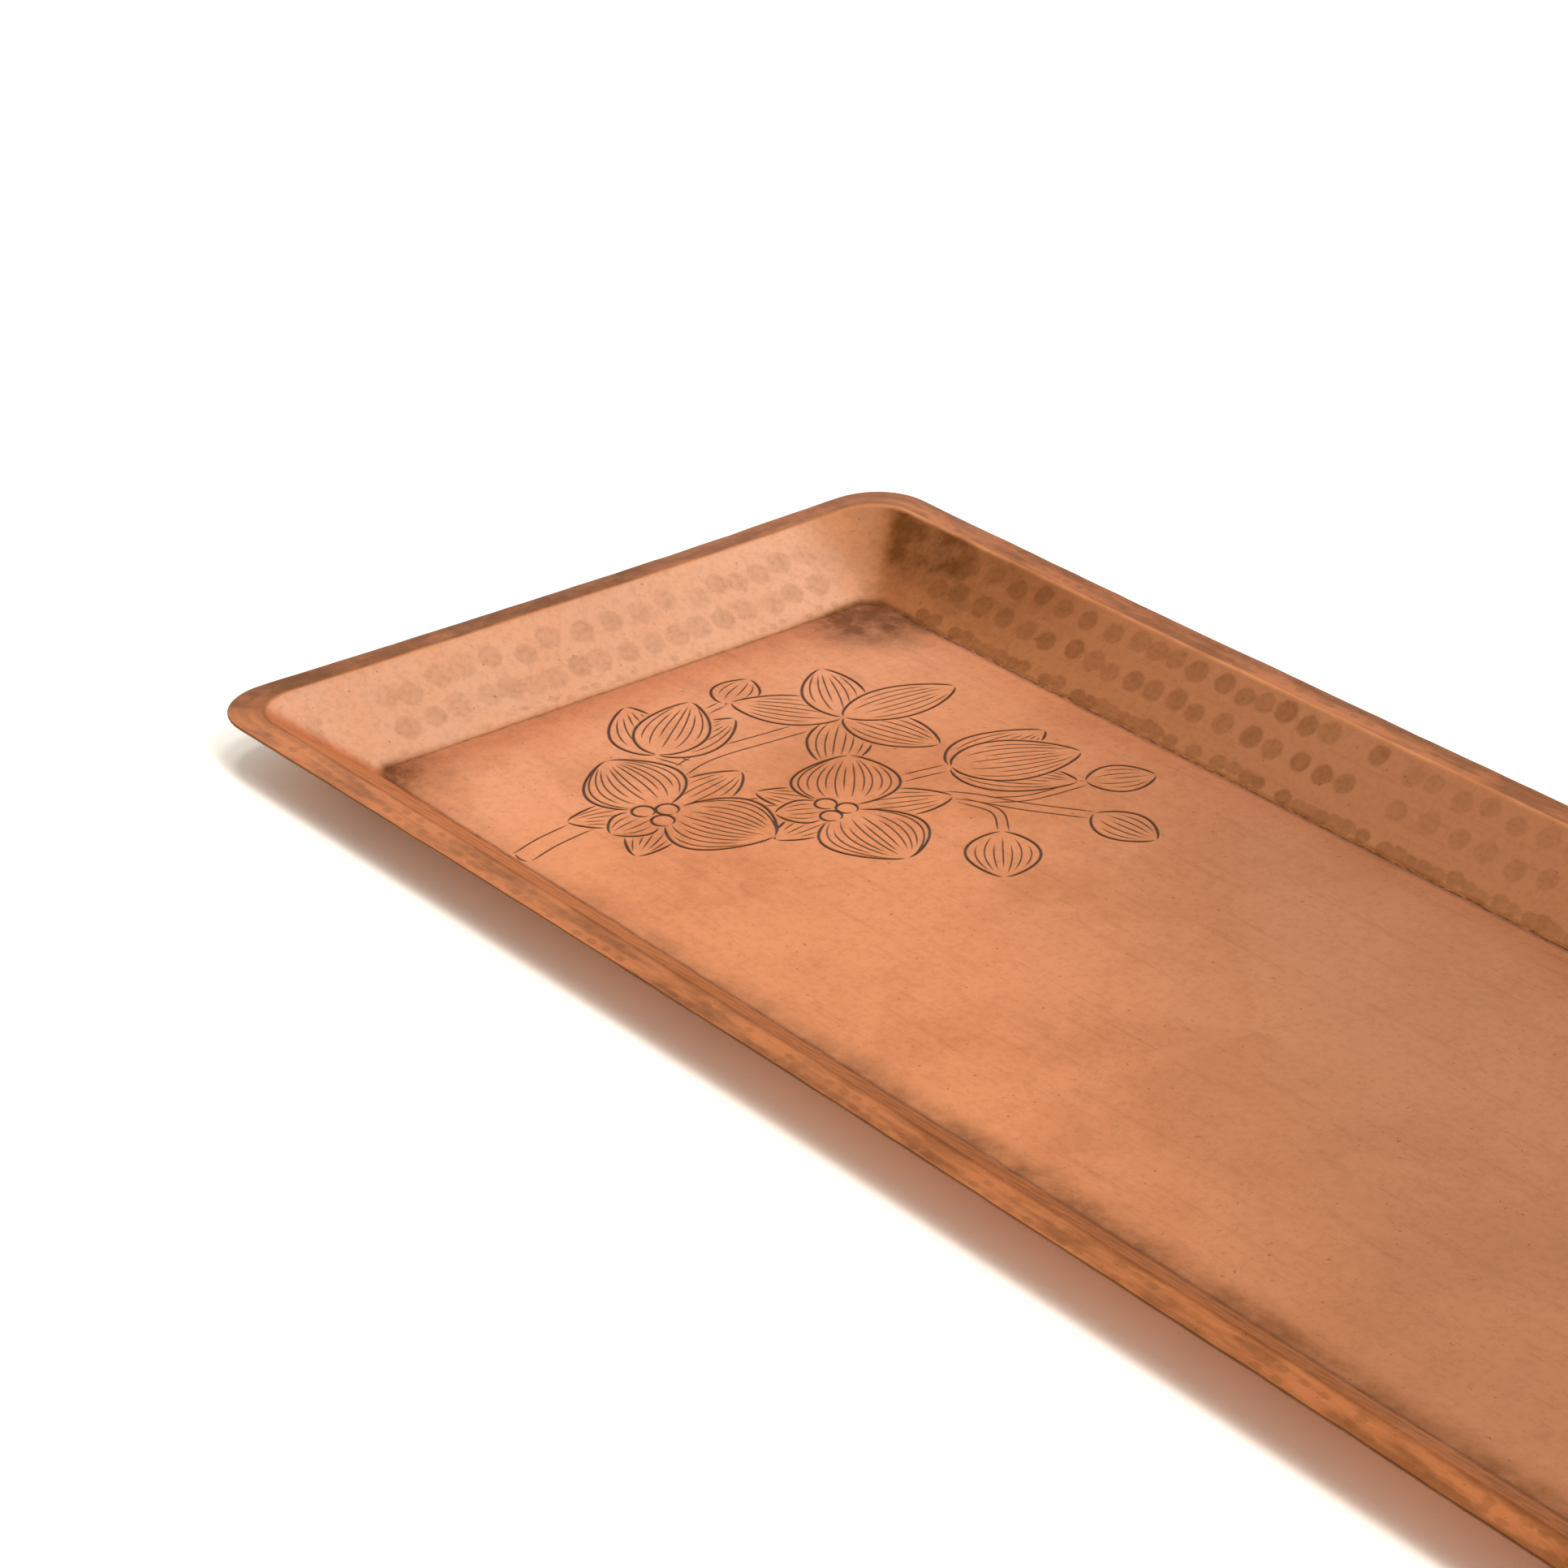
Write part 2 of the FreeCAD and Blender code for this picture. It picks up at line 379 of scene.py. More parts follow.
def heading(degrees):
    """The direction along a heading, and the direction to its left."""
    angle = math.radians(degrees)
    return np.array([math.cos(angle), math.sin(angle)]), np.array([-math.sin(angle), math.cos(angle)])


def inside(points, polygon):
    """Which points lie inside a closed polygon."""
    result = np.zeros(len(points), bool)
    x, y = points[:, 0], points[:, 1]
    for (ax, ay), (bx, by) in zip(polygon, np.roll(polygon, -1, axis=0)):
        if ay == by:
            continue
        crosses = (ay > y) != (by > y)
        result ^= crosses & (x < (bx - ax) * (y - ay) / (by - ay) + ax)
    return result


class Engraving:
    """Strokes cut into the floor, drawn from the front of the design to the back."""

    def __init__(self):
        self.strokes = []
        self.covers = []

    def cut(self, line, width):
        """Cuts the parts of a line that no shape in front of it covers."""
        hidden = np.zeros(len(line), bool)
        for polygon in self.covers:
            hidden |= inside(line, polygon)
        run = []
        for point, is_hidden in zip(list(line) + [None], list(hidden) + [True]):
            if not is_hidden:
                run.append(point)
                continue
            if len(run) > 2:
                self.strokes.append((np.array(run), width))
            run = []

    def petal(self, base, turn, length, width, bend=0.0, belly=0.9, doubled=False):
        """A veined petal from its base along a heading.

        Bend swings its tip to the left as a share of its length. A belly under 1 puts its widest
        place nearer its base. A doubled petal has a second outline inside the first.
        """
        base = np.array(base, float)
        along, across = heading(turn + random.uniform(-3, 3))
        length *= random.uniform(0.96, 1.04)
        width *= random.uniform(0.95, 1.05)

        def lengthwise(share, first=0.0, last=1.0):
            t = np.linspace(first, last, 40)
            side = share * width / 2 * np.sin(math.pi * t**belly) ** 0.7 + bend * length * t**2
            return resample(base + np.outer(length * t, along) + np.outer(side, across))

        left, right = lengthwise(1.0), lengthwise(-1.0)
        self.cut(left, OUTLINE_WIDTH)
        self.cut(right, OUTLINE_WIDTH)
        if doubled:
            self.cut(lengthwise(0.87, 0.1, 0.97), INNER_WIDTH)
        veins = max(2, round(width / VEIN_SPACING) - 1)
        reach = 0.87 if doubled else 1.0
        for k in range(1, veins + 1):
            share = reach - (reach + 1) * k / (veins + 1) + random.uniform(-0.02, 0.02)
            first = 0.10 + 0.14 * (k % 2) + random.uniform(0, 0.06)
            self.cut(lengthwise(share, first, 0.93 - random.uniform(0, 0.14)), VEIN_WIDTH)
        self.covers.append(np.concatenate([left, right[::-1]]))

    def disc(self, centre, across):
        """A plain round form."""
        angles = np.linspace(0, 2 * math.pi, max(12, round(math.pi * across / STROKE_STEP)))
        ring = np.array(centre) + across / 2 * np.stack([np.cos(angles), np.sin(angles)], axis=1)
        self.cut(ring, OUTLINE_WIDTH)
        self.covers.append(ring)

    def stem(self, points, width):
        """A stem through the points, drawn as its two sides."""
        middle = spline(points)
        direction = np.gradient(middle, axis=0)
        normal = np.stack([-direction[:, 1], direction[:, 0]], axis=1) / np.hypot(*direction.T)[:, None]
        for side in (-width / 2, width / 2):
            self.cut(resample(middle + side * normal), INNER_WIDTH)


def blossom(e, centre, size, turn):
    """An open orchid seen from the front: a lip, two broad petals, and three narrow ones behind."""
    along, across = heading(turn)
    centre = np.array(centre, float)
    e.disc(centre, 0.20 * size)
    for side in (-1, 1):
        e.disc(centre - 0.17 * size * along + side * 0.12 * size * across, 0.20 * size)
    e.petal(centre - 0.15 * size * along, turn + 180, 0.5 * size, 0.46 * size)
    for side in (-1, 1):
        root = centre + side * 0.05 * size * across
        e.petal(root, turn + side * 78, size, 0.98 * size, bend=-0.06 * side, doubled=True)
    e.petal(centre, turn, 0.98 * size, 0.56 * size)
    for side in (-1, 1):
        e.petal(centre, turn + side * 146, 0.88 * size, 0.46 * size, bend=0.08 * side)


def turned_blossom(e, centre, size, turn):
    """An orchid seen from behind: five narrow petals from one point."""
    petals = ((0, 1.0), (68, 0.88), (-66, 0.84), (128, 0.92), (-130, 0.86))
    for k, (spread, share) in enumerate(petals):
        e.petal(centre, turn + spread, share * size, 0.5 * size, bend=0.05 * (k % 2) - 0.02)


def opening_bud(e, base, turn, size):
    """A bud with three petals that have begun to part."""
    e.petal(base, turn, size, 0.62 * size, belly=0.8)
    for side in (-1, 1):
        e.petal(base, turn + side * 38, 0.92 * size, 0.5 * size, bend=-0.16 * side, belly=0.85)


def bud(e, base, turn, size):
    """A closed bud on the end of its stem."""
    e.petal(base, turn, size, 0.78 * size, belly=0.92)


def engrave():
    """The whole design as strokes in (u, v): a spray of three kinds of flower head on one stem."""
    e = Engraving()
    blossom(e, (84, 60), 39, 97)
    blossom(e, (121, 107), 37, 62)
    turned_blossom(e, (68, 150), 46, 84)
    opening_bud(e, (50, 82), 128, 41)
    opening_bud(e, (120, 154), 62, 46)
    bud(e, (166, 136), -38, 31)
    bud(e, (157, 182), 62, 25)
    bud(e, (176, 168), 8, 26)
    bud(e, (33, 124), 118, 22)
    e.stem([(81, 2), (77, 18), (76, 40), (82, 62)], 8.0)
    cut_foot = [(77, 2.4), (81, 1.6), (85, 2.4)]
    e.cut(spline(cut_foot), INNER_WIDTH)
    e.stem([(84, 60), (100, 88), (121, 107), (134, 138), (158, 154), (178, 168)], 5.0)
    e.stem([(74, 60), (62, 90), (64, 122), (68, 150)], 6.5)
    e.stem([(62, 86), (56, 84), (50, 82)], 4.5)
    e.stem([(44, 96), (36, 108), (33, 124)], 3.6)
    e.stem([(121, 107), (116, 130), (120, 154)], 4.5)
    e.stem([(146, 147), (154, 160), (158, 184)], 3.6)
    e.stem([(140, 140), (154, 144), (167, 136)], 3.6)
    return e.strokes


def half_widths(line, width):
    """Half the width of a stroke at each of its points: it swells from pointed ends."""
    from_end = np.minimum(np.arange(len(line)), np.arange(len(line))[::-1]) * STROKE_STEP
    ease = np.clip(from_end / min(POINTED_END, len(line) * STROKE_STEP / 3), 0, 1)
    return width / 2 * np.sqrt(ease)


# ---------------------------------------------------------------- stains, painted shade and painted sheen

# How far to either side of a corner's diagonal the looks of its two sides blend.
CORNER_BLEND = 17.6


def ramp(value, low, high):
    """A smooth rise from 0 at low to 1 at high, or a fall if high is the smaller."""
    t = np.clip((value - low) / (high - low), 0, 1)
    return t * t * (3 - 2 * t)


class Places:
    """Points of the sheet in the terms its colours are laid out in.

    Up is the distance up the rim, to_end the distance from the nearer end of the floor, and
    long_side is 1 on the two long sides, 0 on the two ends, and between them in the corners.
    """

    def __init__(self, x, y, up):
        self.x, self.y, self.up = x, y, up
        self.u, self.v = x + FLOOR_X, y + FLOOR_Y
        self.to_end = np.minimum(self.u, 2 * FLOOR_X - self.u)
        over_x, over_y = np.abs(x) - FLOOR_X, np.abs(y) - FLOOR_Y
        self.long_side = ramp(over_y - over_x, -CORNER_BLEND, CORNER_BLEND)
        self.on_lip = ramp(up, WALL_LENGTH - 1, WALL_LENGTH + 1)


def floor_stain(at):
    """Brown on the floor: a band along each end, and a patch in each corner, larger at the far side."""
    stain = 0.18 * ramp(at.to_end, 24, 0) * ramp(at.up, 2, -1)
    for side, size, strength in ((0, 36, 1.0), (2 * FLOOR_Y, 52, 1.6)):
        away = np.hypot(at.to_end - 3, at.v - side)
        stain = np.maximum(stain, strength * ramp(away, size, 2) * ramp(at.up, 4, -1))
    return stain


def far_wall_stain(at):
    """Brown up both ends of the far wall, and fainter where the wall turns the corner."""
    far_corner = ramp(at.y, 0, FLOOR_Y) * ramp(at.to_end, 125, 0)
    dark_wall = ramp(at.long_side, 0.4, 0.95) * ramp(at.up, -4, 24)
    brown_turn = 0.30 * ramp(at.y, FLOOR_Y - 22, FLOOR_Y + 8) * (1 - 0.5 * ramp(at.up, 26, 8))
    on_wall = ramp(at.up, 0.5, 3) * (1 - at.on_lip)
    return far_corner * np.maximum(0.95 * dark_wall, brown_turn) * on_wall


def lip_stain(at):
    """Brown on the lips of the two ends, and on the outer part of the far lip."""
    ends = (1.2 - 0.65 * ramp(at.v, 20, 2 * FLOOR_Y)) * ramp(at.long_side, 1.0, 0.4) * at.on_lip
    outer_part = ramp(at.up, WALL_LENGTH + 3, WALL_LENGTH + 9)
    far = outer_part * ramp(at.y, 0, FLOOR_Y) * (0.25 + 0.45 * ramp(at.u, 0, 260))
    return np.maximum(ends, far)


def near_side_darkening(at):
    """Darker along the near edge of the floor, and painted shade up the near wall, which is seen almost
    edge-on; both less by the engraved end.
    """
    beside_fold = ramp(at.v, 12, 2) * ramp(at.v, -4, -1) * ramp(at.up, 4, 1)
    fold = beside_fold * (0.30 + 0.70 * ramp(at.u, 90, 330))
    # Painted shade up the near wall, growing darker towards the right.
    below_lip = ramp(at.up, WALL_LENGTH + 2, WALL_LENGTH)
    wall = ramp(at.y, 0, -FLOOR_Y) * ramp(at.long_side, 0.5, 1.0) * below_lip
    wall = wall * ramp(at.up, -3, 3) * 0.5 * ramp(at.u, 100, 320) * ramp(at.to_end, -5, 60)
    return np.maximum(0.72 * fold, wall)


def stains_and_shade(at):
    """How brown the metal is: the darkest of the patina patches and of the painted shade on the near wall at
    each place.
    """
    layers = [floor_stain(at), far_wall_stain(at), lip_stain(at), near_side_darkening(at)]
    return np.clip(np.maximum.reduce(layers), 0, 1)


def dullness(at):
    """How dull the floor has gone: from clean by the engraving to dull beyond a slanting line."""
    slant = at.u + 1.25 * at.v
    return ramp(slant, 290, 530) * (1 - 0.5 * ramp(at.x, 180, FLOOR_X))


def ridge_highlight_strength(at):
    """How strong the painted highlight along the ridge is: most on the far side, least on the near side."""
    return 0.5 + (np.where(at.y > 0, 1.0, 0.15) - 0.5) * at.long_side


def creasing(at):
    """How dark the fold round the floor is: most along the far side, least at the ends."""
    return 0.2 + (np.where(at.y > 0, 1.0, 0.3) - 0.2) * at.long_side


def end_sheen(at):
    """Painted sheen: the walls at the two ends, and a little of the floor there, made paler as if they
    mirrored brighter light.
    """
    on_wall = ramp(at.up, -0.5, 1.5) * ramp(at.up, WALL_LENGTH + 1, WALL_LENGTH - 1)
    walls = ramp(at.long_side, 0.9, 0.3) * on_wall * (0.8 + 0.2 * ramp(at.y, 0, 80))
    walls *= 1 - 0.75 * ramp(at.y, FLOOR_Y - 20, FLOOR_Y + 12)
    return np.maximum(walls, 0.25 * ramp(at.up, 0.5, -0.5) * ramp(FLOOR_X - np.abs(at.x), 110, 20))


# ---------------------------------------------------------------- the tray's mesh


class Plan:
    """Points and fixed lines in plan, gathered for one triangulation inside the first outline."""

    def __init__(self, outline_points):
        self.points = [tuple(p) for p in outline_points]
        self.count = len(self.points)
        self.edges = []

    def chain(self, points):
        """Adds points on a fixed line, and gives the numbers of its first and last points."""
        first = len(self.points)
        self.points.extend(tuple(p) for p in points)
        self.edges.extend((k, k + 1) for k in range(first, len(self.points) - 1))
        return first, len(self.points) - 1

    def stroke(self, line, halves):
        """A stroke's two sides and its middle, which meet at its ends."""
        direction = np.gradient(line, axis=0)
        direction /= np.hypot(*direction.T)[:, None]
        normal = np.stack([-direction[:, 1], direction[:, 0]], axis=1)
        start, end = self.chain(line)
        for sign in (1, -1):
            first, last = self.chain((line + sign * normal * halves[:, None])[1:-1])
            self.edges.extend([(start, first), (last, end)])

    def scatter(self, spacing):
        """Loose points all over, clear of the edge, so that broad bumps have something to bend."""
        rows = int(2 * FLOOR_Y / spacing)
        columns = int(2 * FLOOR_X / spacing)
        for i in range(1, columns):
            for j in range(1, rows):
                x = -FLOOR_X + (i + random.uniform(-0.25, 0.25)) * spacing
                y = -FLOOR_Y + (j + random.uniform(-0.25, 0.25)) * spacing
                over_x = max(abs(x) - (FLOOR_X - FLOOR_CORNER), 0)
                over_y = max(abs(y) - (FLOOR_Y - FLOOR_CORNER), 0)
                if math.hypot(over_x, over_y) < FLOOR_CORNER - EDGE_GAP:
                    self.points.append((x, y))

    def triangulate(self):
        """Plan points and triangles, with the outline's points first."""
        points = [Vector(p) for p in self.points]
        ring = list(range(self.count))
        verts, _, faces, origins, _, _ = delaunay_2d_cdt(points, self.edges, [ring], 1, 1e-4, True)
        place = {source: out for out, sources in enumerate(origins) for source in sources}
        ids = np.full(len(verts), -1)
        for k in ring:
            ids[place[k]] = k
        ids[ids < 0] = np.arange(self.count, self.count + (ids < 0).sum())
        ordered = np.zeros((len(verts), 2))
        ordered[ids] = np.array([v[:] for v in verts])
        return ordered, [tuple(int(ids[k]) for k in face) for face in faces]


def groove_at(points, strokes):
    """At plan points: how far into a groove each lies, 0 to 1, and the groove's depth there."""
    share = np.zeros(len(points))
    depth = np.zeros(len(points))
    for line, halves in strokes:
        low, high = line.min(axis=0) - halves.max(), line.max(axis=0) + halves.max()
        found = np.nonzero((points > low).all(axis=1) & (points < high).all(axis=1))[0]
        if not len(found):
            continue
        start = line[:-1]
        run = line[1:] - start
        relative = points[found][:, None, :] - start[None]
        t = np.clip((relative * run).sum(axis=2) / (run**2).sum(axis=1), 0, 1)
        away = np.hypot(*np.moveaxis(relative - t[..., None] * run, 2, 0))
        width = halves[:-1] + t * (halves[1:] - halves[:-1])
        deepest = np.clip(width - away, 0, None).max(axis=1)
        darkness = np.clip(GROOVE_DARKENING * deepest / OUTLINE_WIDTH, 0, 1)
        share[found] = np.maximum(share[found], darkness)
        depth[found] = np.maximum(depth[found], GROOVE_STEEPNESS * deepest)
    return share, depth


class Sheet:
    """The tray's vertices and faces, with what its material has to know at each vertex."""

    def __init__(self):
        self.points = []
        self.known = {name: [] for name in ("groove", "mark", "tone", "up", "along", "upper")}
        self.faces = []

    def add(self, points, **known):
        """Adds vertices. Each name is given one number for all of them, or one for each."""
        self.points.append(points)
        for name, values in known.items():
            self.known[name].append(np.full(len(points), values, float))

    def add_ring(self, ring, along, marks):
        """Adds a ring with its dents, the sheet's gentle swell and the ragged cut edge."""
        plan, outward = bent_outline(ring.reach)
        on_rim = np.clip(ring.reach / WALL_RUN, 0, 1)
        on_lip = np.clip((ring.reach - WALL_RUN) / LIP_WIDTH, 0, 1)
        swell = floor_bumps(*plan.T) * (1 - on_rim)
        lift = on_rim * 0.24 * noise_at(*plan.T, size=90, seed=9.0)
        lift = lift + on_lip * 0.12 * noise_at(*plan.T, size=14, seed=11.0)
        coarse, fine = noise_at(*plan.T, size=17, seed=5.0), noise_at(*plan.T, size=6, seed=7.0)
        ragged = on_lip * (0.22 * coarse + 0.1 * fine - 0.12)
        dent, within, tone = marks.on(np.column_stack([plan, np.full(len(plan), ring.height)]))
        carried = -dent if ring.upper else DENT_THROUGH * dent
        plan = plan + outward * (ring.out * carried + ragged)[:, None]
        height = ring.height + swell + lift + ring.rise * carried
        known = {"groove": 0.0, "mark": within, "tone": tone, "up": ring.up, "along": along}
        self.add(np.column_stack([plan, height]), upper=ring.upper, **known)

    def join_rings(self):
        """Four-sided faces between each ring and the next, before the floors are added."""
        count = len(self.points[0])
        for r in range(len(self.points) - 1):
            for k in range(count):
                n = (k + 1) % count
                corners = (r * count + k, (r + 1) * count + k, (r + 1) * count + n, r * count + n)
                self.faces.append(corners)

    def add_floor(self, ring_index, strokes, spacing, upper):
        """Fills a ring with one side of the floor, cut by the strokes."""
        count = len(self.points[ring_index])
        plan = Plan(self.points[ring_index][:, :2])
        for line, halves in strokes:
            plan.stroke(line, halves)
        plan.scatter(spacing)
        points, triangles = plan.triangulate()
        inner = points[count:]
        groove, depth = groove_at(inner, strokes)
        height = floor_bumps(*inner.T) + (THICKNESS - depth if upper else 0)
        first_ring = ring_index * count
        first_new = sum(len(block) for block in self.points) - count
        for triangle in triangles:
            ids = [first_ring + k if k < count else first_new + k for k in triangle]
            self.faces.append(tuple(ids if upper else reversed(ids)))
        known = {"groove": groove, "mark": -1.0, "tone": 0.0, "up": FLOOR_UP, "along": inner[:, 0]}
        self.add(np.column_stack([inner, height]), upper=float(upper), **known)

    def mesh(self, name):
        """The finished mesh, with everything known about its vertices as attributes."""
        points = np.concatenate(self.points)
        mesh = bpy.data.meshes.new(name)
        mesh.from_pydata((points * MM).tolist(), [], self.faces)
        known = {key: np.concatenate(blocks) for key, blocks in self.known.items()}
        at = Places(points[:, 0], points[:, 1], known["up"])
        known.update(stain=stains_and_shade(at), pale=end_sheen(at), dull=dullness(at))
        known.update(crease=creasing(at), rub=ridge_highlight_strength(at))
        for key, values in known.items():
            attribute = mesh.attributes.new(key, "FLOAT", "POINT")
            attribute.data.foreach_set("value", values.astype(np.float32))
        mesh.shade_smooth()
        mesh.set_sharp_from_angle(angle=SHARP_ANGLE)
        return mesh


def distance_along(line):
    """How far along a closed line each of its points lies."""
    gaps = np.hypot(*(np.roll(line, -1, axis=0) - line).T)
    return np.concatenate([[0], np.cumsum(gaps)[:-1]])


def build_tray():
    """The hammered and engraved tray, as one closed mesh."""
    rings = section()
    floor_line, _ = bent_outline(0.0)
    along = distance_along(floor_line)
    marks = hammer()
    sheet = Sheet()
    for ring in rings:
        sheet.add_ring(ring, along, marks)
    sheet.join_rings()
    to_middle = (-FLOOR_X, -FLOOR_Y)
    strokes = [(line + to_middle, half_widths(line, width)) for line, width in engrave()]
    sheet.add_floor(0, strokes, UPPER_SPACING, upper=True)
    sheet.add_floor(len(rings) - 1, [], UNDER_SPACING, upper=False)
    tray = bpy.data.objects.new("tray_copper", sheet.mesh("tray_copper"))
    bpy.context.scene.collection.objects.link(tray)
    return tray


# ---------------------------------------------------------------- materials


class Nodes:
    """Short calls for building a material's nodes."""

    def __init__(self, tree):
        self.tree = tree
        tree.nodes.clear()

    def add(self, kind, inputs=None, **settings):
        """A node of a kind, with its settings, and with each input linked or set."""
        node = self.tree.nodes.new(kind)
        for name, value in settings.items():
            setattr(node, name, value)
        for name, value in (inputs or {}).items():
            if isinstance(value, bpy.types.NodeSocket):
                self.tree.links.new(value, node.inputs[name])
            else:
                node.inputs[name].default_value = value
        return node

    def value(self, name):
        return self.add("ShaderNodeAttribute", attribute_name=name).outputs["Fac"]

    def maths(self, operation, a, b=0.0):
        return self.add("ShaderNodeMath", {0: a, 1: b}, operation=operation).outputs[0]

    def times(self, *factors):
        result = factors[0]
        for factor in factors[1:]:
            result = self.maths("MULTIPLY", result, factor)
        return result

    def away_from(self, value, level):
        """How far a value is from a level, on either side."""
        return self.maths("ABSOLUTE", self.maths("SUBTRACT", value, level))

    def step(self, value, low, high, to_low=0.0, to_high=1.0):
        """A smooth step of a value, from one level to another."""
        inputs = {"Value": value, 1: low, 2: high, 3: to_low, 4: to_high}
        return self.add("ShaderNodeMapRange", inputs, interpolation_type="SMOOTHSTEP").outputs[0]

    def noise(self, vector, scale, detail, roughness):
        inputs = {"Vector": vector, "Scale": scale, "Detail": detail, "Roughness": roughness}
        return self.add("ShaderNodeTexNoise", inputs).outputs["Fac"]

    def drawn_out(self, vector, scales, detail, roughness):
        """Noise with a scale of its own along each axis."""
        stretched = self.add("ShaderNodeVectorMath", {0: vector, 1: scales}, operation="MULTIPLY")
        return self.noise(stretched.outputs[0], 1.0, detail, roughness)

    def mix(self, share, a, b):
        """A mix of two colours. A colour mix takes its share and colours at inputs 0, 6 and 7."""
        return self.add("ShaderNodeMix", {0: share, 6: a, 7: b}, data_type="RGBA").outputs[2]


# The colours of the copper, from bare metal to the darkest patina, with a painted sheen, a painted highlight
# and painted shade among them.
CLEAN = (0.85, 0.320, 0.136, 1)
# Painted sheen: the paler colour of the end walls, as if they mirrored brighter light.
SHEEN = (0.98, 0.52, 0.33, 1)
# Painted highlight: the colour of the bright line along the ridge.
HIGHLIGHT = (0.93, 0.38, 0.16, 1)
GREYED = (0.72, 0.43, 0.30, 1)
# Painted shade: the darker base of the walls.
WALL_SHADE = (0.70, 0.255, 0.095, 1)
LIP = (0.80, 0.268, 0.092, 1)
WORN = (0.73, 0.268, 0.104, 1)
DULL = (0.56, 0.235, 0.110, 1)
UNDERSIDE = (0.72, 0.33, 0.135, 1)
BROWN = (0.235, 0.075, 0.016, 1)
DARK = (0.075, 0.033, 0.017, 1)


def copper_facts(n):
    """What the layers of the copper share: what the mesh knows, places on the sheet, and noises.

    Noises over the place have their scales in features per metre, those round the rim per mm.
    """
    names = ("groove", "mark", "tone", "stain", "pale", "dull", "crease", "rub", "up", "along", "upper")
    at = SimpleNamespace(**{name: n.value(name) for name in names})
    at.place = n.add("ShaderNodeTexCoord").outputs["Object"]
    at.rim_place = n.add("ShaderNodeCombineXYZ", {0: at.along, 1: at.up}).outputs[0]
    at.on_floor = n.step(at.up, -0.8, 0.8, 1, 0)
    at.on_lip = n.step(at.up, WALL_LENGTH - 1.0, WALL_LENGTH + 1.2)
    at.on_upper = n.step(at.upper, 0.55, 0.95)
    at.clouds = n.noise(at.place, 11.0, 5.0, 0.62)
    at.scuffs = n.noise(at.place, 55.0, 5.0, 0.7)
    at.mottle = n.noise(at.place, 130.0, 4.0, 0.7)
    at.fine = n.noise(at.place, 420.0, 3.0, 0.65)
    at.grain = n.noise(at.place, 1100.0, 2.0, 0.6)
    at.worn = n.step(n.maths("ADD", n.times(at.clouds, 0.8), n.times(at.mottle, 0.2)), 0.40, 0.66)
    return at


def bare_metal(n, at):
    """Clean with cloudy worn patches, dull on part of the floor, and darker off the floor: painted shade on
    the walls.
    """
    colour = n.mix(at.worn, CLEAN, WORN)
    dulled = n.times(at.dull, n.step(at.clouds, 0.25, 0.75, 0.82, 1.0))
    colour = n.mix(dulled, colour, DULL)
    # Painted shade: darker metal off the floor, on the walls.
    return n.mix(n.maths("SUBTRACT", 0.8, n.times(at.on_floor, 0.8)), colour, WALL_SHADE)


def sheen_on_ends(n, at, colour):
    """Painted sheen: paler on the end walls, and greyish in the scuffs there."""
    colour = n.mix(n.times(at.pale, n.step(at.scuffs, 0.3, 0.7, 0.85, 1.0)), colour, SHEEN)
    return n.mix(n.times(at.pale, n.step(at.scuffs, 0.45, 0.8, 0.0, 0.45)), colour, GREYED)


def floor_lines(n, at, colour):
    """Brown streaks and hairlines along the floor, and fine spots all over."""
    streaks = n.drawn_out(at.place, (14.0, 210.0, 14.0), 4.0, 0.65)
    hairs = n.drawn_out(at.place, (45.0, 900.0, 45.0), 3.0, 0.7)
    colour = n.mix(n.times(n.step(streaks, 0.5, 0.8, 0, 0.22), at.on_floor), colour, BROWN)
    colour = n.mix(n.step(at.fine, 0.42, 0.72, 0, 0.16), colour, BROWN)
    return n.mix(n.times(n.step(hairs, 0.60, 0.78, 0, 0.30), at.on_floor), colour, BROWN)


def wall_tarnish(n, at, colour):
    """The walls are greyer beside the dull floor, with faint streaks along them."""
    on_wall = n.maths("SUBTRACT", n.step(at.up, 0.5, 2.0), at.on_lip)
    streaks = n.step(n.drawn_out(at.rim_place, (0.02, 0.5, 1.0), 3.0, 0.6), 0.48, 0.8, 0, 0.14)
    colour = n.mix(n.times(on_wall, at.dull, 0.12), colour, GREYED)
    return n.mix(n.times(on_wall, streaks, n.maths("SUBTRACT", 1.0, at.pale)), colour, BROWN)


def lip_patina(n, at, colour):
    """The lip is redder, with brown blotches drawn out along it."""
    blotches = n.step(n.drawn_out(at.rim_place, (0.035, 0.16, 1.0), 5.0, 0.6), 0.36, 0.66, 0.30, 0.8)
    colour = n.mix(at.on_lip, colour, LIP)
    return n.mix(n.times(at.on_lip, blotches), colour, BROWN)


def dent_discs(n, at, colour):
    """Brown discs with ragged edges in the hammer dents of the upper side."""
    ragged = n.maths("ADD", at.mark, n.times(n.maths("SUBTRACT", at.mottle, 0.5), 0.35))
    spotted = n.step(at.fine, 0.3, 0.7, 0.40, 0.54)
    return n.mix(n.times(n.step(ragged, -0.05, 0.28), at.tone, spotted, at.on_upper), colour, BROWN)


def stain_and_shade_patches(n, at, colour):
    """Brown patches of patina and the painted shade on the near wall, broken up by the mottle and the
    scuffs.
    """
    mottled, scuffed = n.step(at.mottle, 0.3, 0.7, 0.8, 1.1), n.step(at.scuffs, 0.35, 0.65, 0.6, 1.15)
    return n.mix(n.times(at.stain, mottled, scuffed), colour, BROWN)


